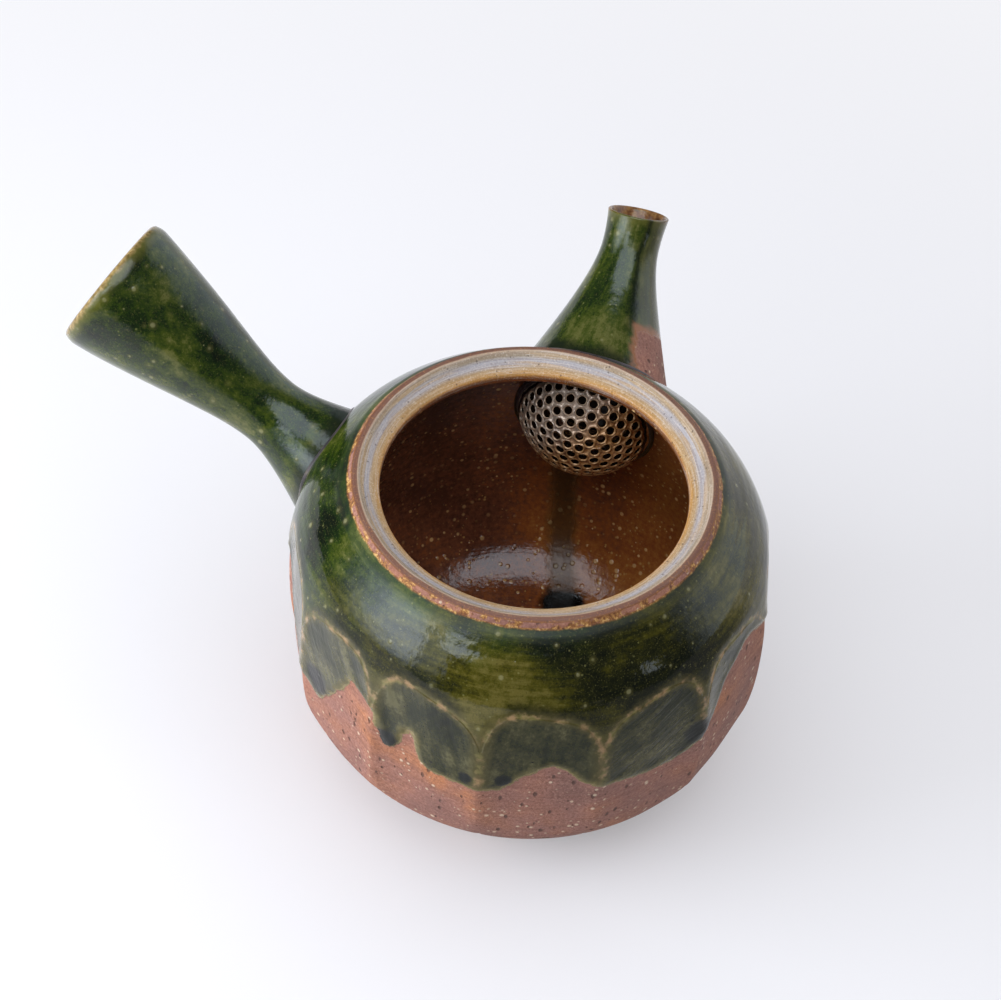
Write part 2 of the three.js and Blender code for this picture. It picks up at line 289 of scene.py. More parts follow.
def body_radius(turn, z):
    """The smaller of the thrown section and the facet, blended where they are within the width
    of the rounded arris. A facet rises from its distance to the corners of the 13-sided shape
    by a power of the offset, and leans by the offset times one less its square."""
    offset, number = facet_offset(turn)
    thrown = thrown_radius(z)
    share = offset * FACET_COUNT / np.pi
    edge_rise = 1 / np.cos(np.pi / FACET_COUNT) - 1
    lean = np.array(FACET_LEANS)[number] * share * (1 - share ** 2)
    facet = facet_distance(z) * (1 + edge_rise * np.abs(share) ** FACET_SCOOP) + lean
    blend = np.clip(0.5 + 0.5 * (thrown - facet) / ARRIS_ROUND, 0, 1)
    return thrown * (1 - blend) + facet * blend - ARRIS_ROUND * blend * (1 - blend)


# Meshes

def closed_grid(name, points, ends, attributes=None):
    """A mesh from a grid of points, rows by columns. The columns run all the way round.

    The rows end in two poles, where a whole row is one point, or the last row joins the first.
    Faces are turned outwards by the sign of the enclosed volume.
    """
    rows, columns = points.shape[:2]
    number = np.arange(rows * columns).reshape(rows, columns)
    if ends == "poles":
        number[0, :] = number[0, 0]
        number[-1, :] = number[-1, 0]
        lower, upper = number[:-1], number[1:]
    else:
        lower, upper = number, np.roll(number, -1, axis=0)
    quads = np.stack([lower, np.roll(lower, -1, 1), np.roll(upper, -1, 1), upper], -1)
    used, quads = np.unique(quads, return_inverse=True)
    quads = quads.reshape(-1, 4)
    flat = points.reshape(-1, 3)[used] * MM
    a, b, c, d = (flat[quads[:, i]] for i in range(4))
    volume = np.einsum("ij,ij->i", a, np.cross(b, c) + np.cross(c, d)).sum()
    if volume < 0:
        quads = quads[:, ::-1]
    faces = [tuple(dict.fromkeys(quad)) for quad in quads.tolist()]
    mesh = bpy.data.meshes.new(name)
    mesh.from_pydata(flat.tolist(), [], faces)
    mesh.shade_smooth()
    for key, values in (attributes or {}).items():
        add_attribute(mesh, key, values.reshape(rows * columns, -1)[used])
    return mesh


def add_attribute(mesh, name, values):
    """A number or a vector at each point, for the materials."""
    kind, field = ("FLOAT", "value") if values.shape[1] == 1 else ("FLOAT_VECTOR", "vector")
    layer = mesh.attributes.new(name, kind, "POINT")
    layer.data.foreach_set(field, values.astype(np.float32).ravel())


def face_corners(mesh):
    """The point at each corner of a face, where each face's corners start, and how many it has."""
    corners = np.empty(len(mesh.loops), int)
    mesh.loops.foreach_get("vertex_index", corners)
    starts = np.empty(len(mesh.polygons), int)
    mesh.polygons.foreach_get("loop_start", starts)
    return corners, starts, np.diff(np.append(starts, len(corners)))


def add_object(name, data):
    made = bpy.data.objects.new(name, data)
    bpy.context.scene.collection.objects.link(made)
    return made


def add_piece(name, mesh, node, materials):
    """Puts a finished mesh in the scene in place of its CAD node."""
    piece = add_object(name, mesh)
    for material in materials:
        mesh.materials.append(material)
    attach(piece, "root")
    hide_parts(node)
    return piece


def turned(points, turn):
    """Points turned about the Z axis."""
    x, y, z = np.moveaxis(points, -1, 0)
    return np.stack([x * np.cos(turn) - y * np.sin(turn), x * np.sin(turn) + y * np.cos(turn), z], -1)


def grid_normals(points):
    """Outward unit normals of a grid whose columns run round the Z axis."""
    along = np.gradient(points, axis=0)
    round_ = np.roll(points, -1, axis=1) - np.roll(points, 1, axis=1)
    normal = np.cross(round_, along)
    return normal / np.maximum(np.linalg.norm(normal, axis=2, keepdims=True), 1e-9)


# Bowl

# Lower edge of the glaze: turn from the front in degrees, to the right, and height. Read off the
# photo from -54 to 75, and led on round the back in the same way.
FRONT_TURN = np.radians(-167.1)
GLAZE_EDGE = (
    (-170, 44), (-158, 41), (-148, 46), (-136, 49), (-126, 42), (-114, 40), (-102, 45), (-90, 52),
    (-80, 47), (-70, 41), (-60, 37.5), (-56.5, 36), (-48.5, 47), (-44, 54.5), (-40, 53.5),
    (-36.2, 53), (-34.6, 47), (-33, 42.4), (-30.5, 41.8), (-28.8, 45.5), (-27.2, 50.5),
    (-25.8, 51.5), (-24.7, 46), (-23.5, 42.8), (-21, 41.2), (-16, 40.8), (-10, 40.6), (-4, 40.4),
    (-1, 43), (1, 45.3), (5, 48.3), (8, 49.6), (11, 48.6), (14, 45), (18, 42.3), (26, 40.8), (36, 39.4),
    (43, 40), (48, 44.7), (52, 48), (56, 55), (65, 60), (75, 57), (86, 48), (97, 43), (108, 46),
    (120, 42), (132, 45), (145, 51), (155, 47), (165, 42),
)
# Broad places where the glaze is darker (negative) or paler: turn from the front in degrees,
# height, radius, amount
TONES = (
    (38, 68, 12, -1.1), (14, 77, 8, -0.9), (-6, 67, 11, 0.8), (-72, 75, 6, -1.0), (-92, 70, 7, -0.8),
    (75, 70, 8, 0.5), (-40, 62, 8, 0.5), (130, 66, 10, -0.8), (165, 70, 9, 0.6), (-130, 66, 10, -0.8),
)
# Spots where it ran thick: turn, height, radius
POOLS = (
    (-32.5, 45.5, 3.9), (-57, 43, 5.0), (-11.5, 44.3, 2.1), (-3, 44.5, 2.5), (46, 47, 5.0),
    (100, 46, 5.0), (-120, 44, 5.0),
)
# Direction of the knife's strokes on each facet, in degrees from level
STROKES = (28, 35, 62, 20, 48, -58, -75, 80, 30, -40, 55, 25, 40)
STROKES_APART = 37.0  # shift of the strokes' pattern from facet to facet

# Where the rim's slip starts and ends along the section, from the lip's highest point inwards
RIM_OUTER_END = -1.45
RIM_INNER_END = 7.2
# Its bands: place along the section, and colour
RIM_BANDS = (
    (-1.40, 0x7C4C28), (-1.00, 0x6A4438), (-0.15, 0x745040), (0.10, 0xBBA38A), (0.60, 0x9E8C76),
    (1.30, 0x9C8C74), (2.10, 0xA8A6AC), (3.20, 0xA39EA0), (4.20, 0xAC8E62), (5.20, 0xB68A4A),
    (5.90, 0xCC9444), (6.35, 0xAA6C30), (6.90, 0x7A4822),
)


def glaze_edge_height(turn):
    """Height of the glaze's edge: straight runs between the read points, smoothed over a degree."""
    degrees = np.arange(0, 360, 0.25)
    places, heights = np.array(GLAZE_EDGE, float).T
    line = np.interp(degrees, np.mod(places, 360), heights, period=360)
    window = np.hanning(7)
    line = np.convolve(np.concatenate([line[-3:], line, line[:3]]), window / window.sum(), "valid")
    from_front = np.degrees(turn - FRONT_TURN)
    return np.interp(np.mod(from_front, 360), degrees, line, period=360)


def arch_heights(turns):
    """For each turn, the greatest height at which the facet still cuts the thrown wall."""
    z = np.linspace(70, 30, 801)[:, None]
    cut = thrown_radius(z) - body_radius(turns[None, :], z)
    return z[np.argmax(cut > ARRIS_ROUND / 4, axis=0), 0]


def distance_from_line(height, heights_at, turns):
    """How far each point lies from a line round the bowl, positive above it: the least distance to
    the line's points within 12 mm to each side, taken 0.2 mm apart."""
    step = (turns[1] - turns[0]) / 4
    line = heights_at(turns[0] + np.arange(4 * len(turns)) * step)
    distance = np.full(height.shape, 100.0)
    for k in range(-60, 61):
        beside = np.roll(line, -k)[::4]
        distance = np.minimum(distance, np.hypot(k * step * BELLY_RADIUS, height - beside))
    return distance * np.sign(height - line[::4])


def spot_strength(turn, radius, height, spot):
    """1 in the middle of a spot on the bowl (turn from the front in degrees, height, size), and
    less with the distance from it by a Gaussian of that size."""
    place, level, size = spot
    beyond = turn - FRONT_TURN - np.radians(place) + np.pi
    across = (np.mod(beyond, FULL_TURN) - np.pi) * radius
    return np.exp(-(across ** 2 + (height - level) ** 2) / size ** 2)


def body_rows():
    """The section's points (radius, height) from the base's centre out, up, in and down to the
    floor's centre, closer together where the arches and the rim need them; and for each point
    the number of its part, where parts up to 3 are the outside."""
    foot = rounded([(0, 0), (FOOT_RADIUS, 0), OUTER[FOOT_STEPS]], (FOOT_EDGE_ROUND,))
    base = np.concatenate([resample(foot[:2], 8.0), foot[2:-1]])
    height = OUTER[:, 1]
    arch_low, arch_high = ARCH_HEIGHTS
    low = OUTER[(height >= height[FOOT_STEPS]) & (height < arch_low)]
    arches = OUTER[(height >= arch_low) & (height < arch_high)]
    top = OUTER[height >= arch_high]
    cavity = resample(CAVITY, 2.8)
    floor = resample(np.array([CAVITY[-1], (0, FLOOR_HEIGHT)]), 4.0)
    parts = [
        base, resample(low, 1.25), resample(arches, 0.45), resample(top, 0.8)[:-1],
        resample(rim_section(), 0.3), cavity[1:], floor[1:],
    ]
    zones = np.concatenate([[i] * len(part) for i, part in enumerate(parts)])
    return np.concatenate(parts), zones


def body_mesh():
    """r(turn, height) from body_radius on the outside and the plain section inside, then moved
    out by the glaze's thickness and out of round by a tenth of a millimetre or so."""
    section, zones = body_rows()
    turns = FIRST_FACET_TURN + np.pi / FACET_COUNT + np.arange(COLUMNS) * FULL_TURN / COLUMNS
    turn = np.broadcast_to(turns[None, :], (len(section), COLUMNS))
    radius = np.broadcast_to(section[:, :1], turn.shape).copy()
    height = np.broadcast_to(section[:, 1:], turn.shape).copy()
    outside = (zones <= 3)[:, None] & (height > 0)
    radius = np.where(outside, np.minimum(radius, body_radius(turn, height)), radius)

    arch = distance_from_line(height, arch_heights, turns)
    offset, _ = facet_offset(turn)
    ridge = (np.pi / FACET_COUNT - np.abs(offset)) * radius
    groove = ARRIS_GROOVE_DEPTH * np.exp(-(ridge / ARRIS_GROOVE_WIDTH) ** 2)
    radius -= np.where(outside & (arch < 0), groove, 0)

    glaze = np.where(outside, distance_from_line(height, glaze_edge_height, turns), 0)
    thickness = GLAZE_THICKNESS * smooth_step(0, GLAZE_RAMP, glaze)
    thickness += GLAZE_ROLL * np.exp(-((glaze - GLAZE_RAMP) / GLAZE_ROLL_WIDTH) ** 2)
    near_lip = smooth_step(0, 1.5, NECK_HEIGHT - height)
    points = np.stack([radius * np.cos(turn), radius * np.sin(turn), height], -1)
    points += grid_normals(points) * (thickness * outside * near_lip)[..., None]

    wobble = sum(size * np.sin(waves * turn + phase) for size, waves, phase in OUT_OF_ROUND)
    points[..., :2] *= (1 + wobble / BELLY_RADIUS * smooth_step(0, 20, height))[..., None]
    points[..., :2] += NECK_SHIFT * smooth_step(*NECK_SHIFT_HEIGHTS, height)[..., None]
    points[..., 2] += RIM_WAVE * np.sin(2 * turn + 2.6) * smooth_step(*RIM_WAVE_HEIGHTS, height)

    along = lengths_along(section)
    from_lip = along - along[np.argmax(section[:, 1])]
    pool = np.max([spot_strength(turn, radius, height, spot) for spot in POOLS], axis=0)
    tone = sum(amount * spot_strength(turn, radius, height, spot) for *spot, amount in TONES)
    mesh = closed_grid("body", points, "poles", {
        "arch_mm": arch, "ridge_mm": ridge, "glaze_mm": glaze,
        "along_mm": np.broadcast_to(from_lip[:, None], radius.shape),
        "pool": pool * outside, "tone": tone * outside,
    })
    add_stroke_map(mesh)
    mesh.polygons.foreach_set("material_index", zone_of_faces(mesh))
    return mesh


def zone_of_faces(mesh):
    """0 for the outside, 1 for the rim and 2 for the hollow, from the distance along the section."""
    along = np.empty(len(mesh.vertices))
    mesh.attributes["along_mm"].data.foreach_get("value", along)
    corners, starts, counts = face_corners(mesh)
    middle = np.add.reduceat(along[corners], starts) / counts
    return np.digitize(middle, (RIM_OUTER_END, RIM_INNER_END)).astype(np.int32)


def add_stroke_map(mesh):
    """A UV map in millimetres with U across and V along the knife's strokes on each facet."""
    places = np.empty(len(mesh.vertices) * 3)
    mesh.vertices.foreach_get("co", places)
    corners, starts, counts = face_corners(mesh)
    places = places.reshape(-1, 3)[corners] / MM
    middle = np.add.reduceat(places, starts, axis=0) / counts[:, None]
    _, facet = facet_offset(np.arctan2(middle[:, 1], middle[:, 0]))
    facet = np.repeat(facet, counts)
    centre = FIRST_FACET_TURN + facet * FULL_TURN / FACET_COUNT
    level = -places[:, 0] * np.sin(centre) + places[:, 1] * np.cos(centre)
    angle = np.radians(np.array(STROKES)[facet])
    across = places[:, 2] * np.cos(angle) - level * np.sin(angle) + STROKES_APART * facet
    along = places[:, 2] * np.sin(angle) + level * np.cos(angle)
    layer = mesh.uv_layers.new(name="strokes")
    layer.data.foreach_set("uv", np.stack([across, along], -1).astype(np.float32).ravel())


def cut_wall_opening(piece):
    """Takes the round opening behind the strainer out of the bowl's wall."""
    start, end = 30, 70  # on both sides of the wall, along +X
    rows = np.array([(0, start), (WALL_OPENING_RADIUS, start), (WALL_OPENING_RADIUS, end), (0, end)])
    angle = np.arange(PLUG_SIDES) * FULL_TURN / PLUG_SIDES
    points = np.stack([
        np.broadcast_to(rows[:, 1:], (len(rows), PLUG_SIDES)),
        rows[:, :1] * np.cos(angle),
        rows[:, :1] * np.sin(angle) + STRAINER_HEIGHT,
    ], -1)
    plug = add_object("plug", closed_grid("plug", points, "poles"))
    opening = piece.modifiers.new("wall opening", "BOOLEAN")
    opening.operation = "DIFFERENCE"
    opening.solver = "MANIFOLD"
    opening.object = plug
    shaped = piece.evaluated_get(bpy.context.evaluated_depsgraph_get())
    mesh = bpy.data.meshes.new_from_object(shaped)
    mesh.name = piece.data.name
    piece.modifiers.clear()
    piece.data = mesh
    bpy.data.objects.remove(plug)


# Spout and handle

def tube_centre(size):
    """Centre line (distance out, height) as a quadratic curve, and the length up to each point."""
    t = np.linspace(0, 1, 401)[:, None]
    a, b, c = (np.array(size[key]) for key in ("start", "bend", "end"))
    line = (1 - t) ** 2 * a + 2 * t * (1 - t) * b + t ** 2 * c
    return line, lengths_along(line)


def tube_radius(size, length):
    """Outer radius at each distance along the centre line: two flares that meet at the waist."""
    waist = (size["waist_radius"], length - size["waist_distance"])
    ends = (((size["root_radius"], 0), size["root_shares"]),
        ((size["end_radius"], length), size["end_shares"]))
    flares = []
    for end, (near, far, out) in ends:
        flares.append(bezier(
            waist,
            (waist[0], between(waist[1], end[1], near)),
            (between(waist[0], end[0], out), between(waist[1], end[1], far)),
            end,
        ))
    section = np.concatenate([flares[0][::-1], flares[1][1:]])
    return lambda s: np.interp(s, section[:, 1], section[:, 0])


def tube_points(size, s, radius, angle):
    """Centre line at s, plus the radius times the cosine of the angle upwards across the line
    and times its sine sideways."""
    line, along = tube_centre(size)
    heading = np.gradient(line, axis=0)
    heading /= np.linalg.norm(heading, axis=1, keepdims=True)
    x, z = (np.interp(s, along, line[:, i]) for i in (0, 1))
    dx, dz = (np.interp(s, along, heading[:, i]) for i in (0, 1))
    up = radius * np.cos(angle)
    beyond = np.maximum(s - along[-1], 0)
    out, height = x + dx * beyond - dz * up, z + dz * beyond + dx * up
    return turned(np.stack([out, radius * np.sin(angle), height], -1), size["turn"])


def root_distance(size, radius_at, gap, angle, length):
    """For each angle, how far along the centre line the tube leaves the bowl's wall by the gap."""
    s = np.linspace(0, length * 0.8, 900)[:, None]
    points = tube_points(size, s + 0 * angle, radius_at(s) + 0 * angle, angle + 0 * s)
    reach = np.hypot(points[..., 0], points[..., 1])
    turn = np.arctan2(points[..., 1], points[..., 0])
    inside = reach - body_radius(turn, points[..., 2]) < gap
    last = len(s) - 1 - np.argmax(inside[::-1], axis=0)
    return s[last, 0]


def tube_mesh(name, size, shape):
    """A skin up the outside from the root, round the lip and down the bore, closed at the root,
    and the outer line at the root. Two parameters: the distance along the centre line and the
    angle about it. The wall thins with the distance's square."""
    length = tube_centre(size)[1][-1]
    radius_at = tube_radius(size, length)
    bore_at = lambda s: radius_at(s) - between(size["wall"], size["lip_wall"], (s / length) ** 2)
    angle = np.arange(TUBE_COLUMNS) * FULL_TURN / TUBE_COLUMNS
    lip = size["lip_wall"] / 2
    root = root_distance(size, radius_at, JOINT_GAP, angle, length)
    bore_root = root_distance(size, bore_at, JOINT_GAP, angle, length)

    share = np.linspace(0, 1, TUBE_OUTER_ROWS)[:, None]
    outer_s = root + share * (length - lip - root)
    edge = np.linspace(0, np.pi, TUBE_LIP_ROWS)[1:-1, None]
    lip_s = length - lip + lip * np.sin(edge) + 0 * angle
    lip_radius = radius_at(length) - lip + lip * np.cos(edge) + 0 * angle
    share = np.linspace(1, 0, TUBE_BORE_ROWS)[:, None]
    bore_s = bore_root + share * (length - lip - bore_root)
    s = np.concatenate([outer_s, lip_s, bore_s])
    radius = np.concatenate([radius_at(outer_s), lip_radius, bore_at(bore_s)])
    turn = np.broadcast_to(angle, s.shape)
    s, radius = shape(s, radius, turn, length)
    side = np.where(np.arange(len(s)) < len(outer_s) + len(lip_s), 1.0, -1.0)[:, None]
    mesh = closed_grid(name, tube_points(size, s, radius, turn), "ring", {
        "end_mm": (length - s) * side, "root_mm": s - root,
        "lay": np.stack([s, LAY_RADIUS * np.cos(turn), LAY_RADIUS * np.sin(turn)], -1),
    })
    return mesh, tube_points(size, root, radius_at(root), angle)


def thrown_tube(amount, slant, turned_in):
    """A shape for tube_mesh that leaves a tube slightly out of round, as a hand throws it, its lip
    lower on the upper side by the slant times the radius, and its edge turned in a little."""
    def shape(s, radius, angle, length):
        radius = radius - turned_in * np.clip(1 - (length - s) / 3.5, 0, 1) ** 2
        wave = np.sin(2 * angle + s / 9.0) + 0.5 * np.sin(3 * angle - s / 6.0 + 1.0)
        lowered = slant * radius * np.cos(angle) * smooth_step(length - 16, length - 1, s)
        return s - lowered, radius * (1 + amount * wave * smooth_step(0, 12, length - s))
    return shape


def ring_mesh(name, line, radius):
    """A round bead carried along a closed line, square to it."""
    heading = np.roll(line, -1, axis=0) - np.roll(line, 1, axis=0)
    heading /= np.linalg.norm(heading, axis=1, keepdims=True)
    out = line - line.mean(axis=0)
    out -= heading * np.einsum("ij,ij->i", out, heading)[:, None]
    out /= np.linalg.norm(out, axis=1, keepdims=True)
    side = np.cross(heading, out)
    angle = np.arange(BEAD_SIDES)[:, None, None] * FULL_TURN / BEAD_SIDES
    points = line + radius * (np.cos(angle) * out + np.sin(angle) * side)
    return closed_grid(name, points, "ring")


# Strainer

def ball_point(polar, round_, radius):
    """A point on the strainer's ball: polar is measured from the direction into the bowl, and
    round_ about that direction, from up towards +Y."""
    x = CAVITY_RADIUS + STRAINER_SET - radius * np.cos(polar)
    y = radius * np.sin(polar) * np.sin(round_)
    z = STRAINER_HEIGHT + radius * np.sin(polar) * np.cos(round_)
    return np.stack([x, y, z], -1)


def hole_places():
    """Polar angle and angle about the axis of each hole, in rings one pitch apart."""
    pitch = HOLE_PITCH / STRAINER_RADIUS
    places = [(0.0, 0.0)]
    for ring in range(1, int(STRAINER_PIERCED / pitch) + 1):
        count = int(round(FULL_TURN * np.sin(ring * pitch) / pitch))
        places += [(ring * pitch, i * FULL_TURN / count + 0.4 * ring) for i in range(count)]
    return np.array(places)


def unrolled(polar, round_):
    """A place on the ball laid flat: its distance from the middle is the polar angle."""
    return np.stack([polar * np.cos(round_), polar * np.sin(round_)], -1)


def hole_rims(places, radius):
    """Corners of each hole's rim as angles in the unrolled plane, holes by corners."""
    polar, round_ = places[:, :1], places[:, 1:]
    spread = np.stack([np.cos(round_), np.sin(round_)], -1)
    axis = np.concatenate([np.cos(polar)[..., None], np.sin(polar)[..., None] * spread], -1)
    away = np.concatenate([-np.sin(polar)[..., None], np.cos(polar)[..., None] * spread], -1)
    side = np.cross(axis, away)
    angle = (np.arange(HOLE_SIDES) * FULL_TURN / HOLE_SIDES)[None, :, None]
    reach = radius / STRAINER_RADIUS
    ring = np.cos(reach) * axis + np.sin(reach) * (np.cos(angle) * away + np.sin(angle) * side)
    forward, up, across = np.moveaxis(ring, -1, 0)
    return unrolled(np.arccos(np.clip(forward, -1, 1)), np.arctan2(across, up))


def skirt_edge():
    """The unrolled line where the ball meets the wall of the hollow, half a millimetre in."""
    round_ = np.arange(SKIRT_STEPS) * FULL_TURN / SKIRT_STEPS
    polar = np.linspace(0.3, np.pi / 2, 500)[:, None]
    points = ball_point(polar + 0 * round_, round_ + 0 * polar, STRAINER_RADIUS)
    reach = np.hypot(points[..., 0], points[..., 1])
    inside = reach < cavity_radius(points[..., 2]) + 0.5
    last = len(polar) - 1 - np.argmax(inside[::-1], axis=0)
    return unrolled(polar[last, 0], round_)


def strainer_mesh():
    """The unrolled cap is split into triangles between the holes' rims and the skirt, and laid on
    the ball at the depth of each layer. Walls join the layers round each hole and the skirt."""
    places = hole_places()
    edge = skirt_edge()
    fills = [edge * share for share in SKIRT_SHARES]
    fills = [fill[np.hypot(*fill.T) > STRAINER_PIERCED + 0.1] for fill in fills]
    rims = hole_rims(places, HOLE_RADIUS + HOLE_EDGE_ROUND)
    flat = np.concatenate([rims.reshape(-1, 2), edge, *fills])
    loops = closed_loops(0, len(places), HOLE_SIDES)
    loops += closed_loops(len(places) * HOLE_SIDES, 1, len(edge))
    result = delaunay_2d_cdt([Vector(p) for p in flat.tolist()], loops, [], 0, 1e-7)
    spots = np.array([tuple(v) for v in result[0]])
    faces = np.array([tuple(f) for f in result[2] if len(f) == 3])
    middle = spots[faces].mean(axis=1)
    round_ = np.mod(np.arctan2(middle[:, 1], middle[:, 0]), FULL_TURN)
    steps = np.arange(len(edge)) * FULL_TURN / len(edge)
    limit = np.interp(round_, steps, np.hypot(*edge.T), period=FULL_TURN)
    faces = faces[~point_in_holes(middle, rims) & (np.hypot(*middle.T) < limit)]
    return strainer_layers(spots, faces, places, edge)


def closed_loops(first, count, sides):
    """Edges of loops that lie one after the other in a list of points, as pairs of numbers."""
    loops = first + np.arange(count * sides).reshape(count, sides)
    return np.stack([loops, np.roll(loops, -1, axis=1)], -1).reshape(-1, 2).tolist()


def point_in_holes(points, rims):
    """Whether each point lies inside one of the rims, which are convex: it is then on the same
    side of every edge."""
    inside = np.zeros(len(points), bool)
    for rim in rims:
        step = np.roll(rim, -1, axis=0) - rim
        gap = points[:, None, :] - rim[None, :, :]
        turn = step[None, :, 0] * gap[..., 1] - step[None, :, 1] * gap[..., 0]
        inside |= (turn > 0).all(axis=1) | (turn < 0).all(axis=1)
    return inside


def lay_on_ball(flat, depth):
    """Unrolled places laid on the ball, a depth below its outside."""
    x, y = flat.T
    return ball_point(np.hypot(x, y), np.arctan2(y, x), STRAINER_RADIUS - depth)


def strainer_layers(spots, faces, places, edge):
    """Outer skin, inner skin, the rounded walls of the holes and the skirt's edge. The points carry
    how bare the glaze leaves them, which also places painted glints and painted shade: 1 on the
    rounded edge of a hole, 0.6 on its rim, 0.3 on its wall and 0 elsewhere."""
    count = len(spots)
    points = [lay_on_ball(spots, 0.0), lay_on_ball(spots, STRAINER_WALL)]
    polygons = faces.tolist() + (faces[:, ::-1] + count).tolist()
    bare = [np.zeros(count), np.zeros(count)]
    rims = np.arange(len(places) * HOLE_SIDES).reshape(-1, HOLE_SIDES)
    rows = [rims]
    for i, (extra, depth) in enumerate(HOLE_LEVELS):
        points.append(lay_on_ball(hole_rims(places, HOLE_RADIUS + extra).reshape(-1, 2), depth))
        bare.append(np.full(rims.size, 1.0 if depth < 0.2 else 0.3))
        rows.append(2 * count + i * rims.size + rims)
    rows.append(rims + count)
    for upper, lower in zip(rows, rows[1:]):
        quads = np.stack([np.roll(upper, -1, 1), upper, lower, np.roll(lower, -1, 1)], -1)
        polygons += quads.reshape(-1, 4).tolist()
    skirt = rims.size + np.arange(len(edge))
    after = np.roll(skirt, -1)
    polygons += np.stack([skirt, after, after + count, skirt + count], -1).tolist()
    bare[0][:rims.size] = 0.6
    mesh = bpy.data.meshes.new("strainer")
    mesh.from_pydata((np.concatenate(points) * MM).tolist(), [], polygons)
    add_attribute(mesh, "edge", np.concatenate(bare)[:, None])
    mesh.shade_smooth()
    return mesh


# Materials

def linear(colour):
    """sRGB hex, such as 0x9A6650, to the linear values that Blender works in."""
    channels = np.array([(colour >> shift) & 255 for shift in (16, 8, 0)]) / 255
    value = np.where(channels <= 0.04045, channels / 12.92, ((channels + 0.055) / 1.055) ** 2.4)
    return (*value.tolist(), 1.0)


def add_node(tree, kind, links=None, out=0, stops=None, **settings):
    """One node: links gives its inputs as sockets or values, and stops a ramp's places and colours.
    The output that is asked for comes back."""
    made = tree.nodes.new("ShaderNode" + kind)
    for name, value in settings.items():
        setattr(made, name, value)
    if stops:
        elements = made.color_ramp.elements
        for _ in stops[2:]:
            elements.new(0.5)
        for element, (place, colour) in zip(elements, stops):
            element.position = place
            element.color = linear(colour)
    for key, value in (links or {}).items():
        if isinstance(value, bpy.types.NodeSocket):
            tree.links.new(value, made.inputs[key])
        else:
            made.inputs[key].default_value = value
    return made.outputs[out] if made.outputs else made


def new_material(name):
    """An empty node tree, its adder, and places in millimetres on the object."""
    material = bpy.data.materials.new(name)
    material.use_nodes = True
    material.node_tree.nodes.clear()
    node = partial(add_node, material.node_tree)
    place = node("VectorMath", {0: node("TexCoord", out="Object"), "Scale": 1 / MM}, operation="SCALE")
    return material, node, place


def shader(node, colour, roughness, height, **values):
    """The finish: one glossy or matt surface, raised or sunk by a height in millimetres."""
    bump = node("Bump", {"Height": height, "Strength": 1.0, "Distance": MM})
    links = {"Base Color": colour, "Roughness": roughness, "Normal": bump, "IOR": 1.5}
    node("OutputMaterial", {"Surface": node("BsdfPrincipled", {**links, **values})})


def maths(node, operation, *values):
    return node("Math", dict(enumerate(values)), operation=operation)


def product(node, first, *others):
    for other in others:
        first = maths(node, "MULTIPLY", first, other)
    return first


def weighted(node, *terms, base=None):
    """The sum of each value times its weight, on top of the base if there is one."""
    for value, weight in terms:
        if base is None:
            base = maths(node, "MULTIPLY", value, weight)
        else:
            base = maths(node, "MULTIPLY_ADD", value, weight, base)
    return base


def ranged(node, value, low, high, start=0.0, end=1.0):
    """Start at low and before it, end at high and past it, and a smooth passage in between. Low
    may be the greater of the two."""
    links = {0: value, 1: low, 2: high, 3: start, 4: end}
    return node("MapRange", links, interpolation_type="SMOOTHSTEP")


def mixed(node, share, first, second):
    """First where the share is 0, second where it is 1."""
    first, second = (linear(c) if isinstance(c, int) else c for c in (first, second))
    return node("Mix", {0: share, 6: first, 7: second}, out=2, data_type="RGBA")


def tinted(node, colour, tint, value, low, high, amount=1.0):
    """The colour where the value is low, passing to the amount of the tint where it is high."""
    return mixed(node, ranged(node, value, low, high, 0.0, amount), colour, tint)


def ramp(node, value, *stops):
    """Colours given at places along the value, blended in between."""
    return node("ValToRGB", {0: value}, stops=stops)


def carried(node, name, out="Fac"):
    """A number or a vector that the mesh carries at each point."""
    return node("Attribute", attribute_name=name, out=out)


def coordinates(node, vector):
    return tuple(node("SeparateXYZ", {0: vector}).node.outputs)


def view_part(node, place, axis):
    """Part of a place or direction along the view's right (0), away (1) or up (2)."""
    direction = tuple(turned(np.eye(3)[axis], VIEW_TURN).tolist())
    return node("VectorMath", {0: place, 1: direction}, out="Value", operation="DOT_PRODUCT")


def noise(node, place, size, detail=3.0, stretch=(1, 1, 1), rough=0.5):
    """Soft noise whose features are about one size across, in millimetres, stretched on request."""
    scale = tuple(1 / (size * s) for s in stretch)
    scaled = node("VectorMath", {0: place, 1: scale}, operation="MULTIPLY")
    return node("TexNoise", {"Vector": scaled, "Scale": 1.0, "Detail": detail, "Roughness": rough})


def frayed(node, value, amount, place, size, detail=3.0, rough=0.5):
    """The value moved up and down by noise of the size, by up to half the amount each way."""
    wave = noise(node, place, size, detail, rough=rough)
    return weighted(node, (wave, amount), base=maths(node, "SUBTRACT", value, amount / 2))


def rings(node, place, along, size, reach, detail=3.0):
    """Throwing lines: noise one size across the section, and many times as long round the axis."""
    x, y, _ = coordinates(node, place)
    scaled = node("CombineXYZ", {
        0: maths(node, "DIVIDE", x, reach), 1: maths(node, "DIVIDE", y, reach),
        2: maths(node, "DIVIDE", along, size),
    })
    return node("TexNoise", {"Vector": scaled, "Scale": 1.0, "Detail": detail, "Roughness": 0.66})


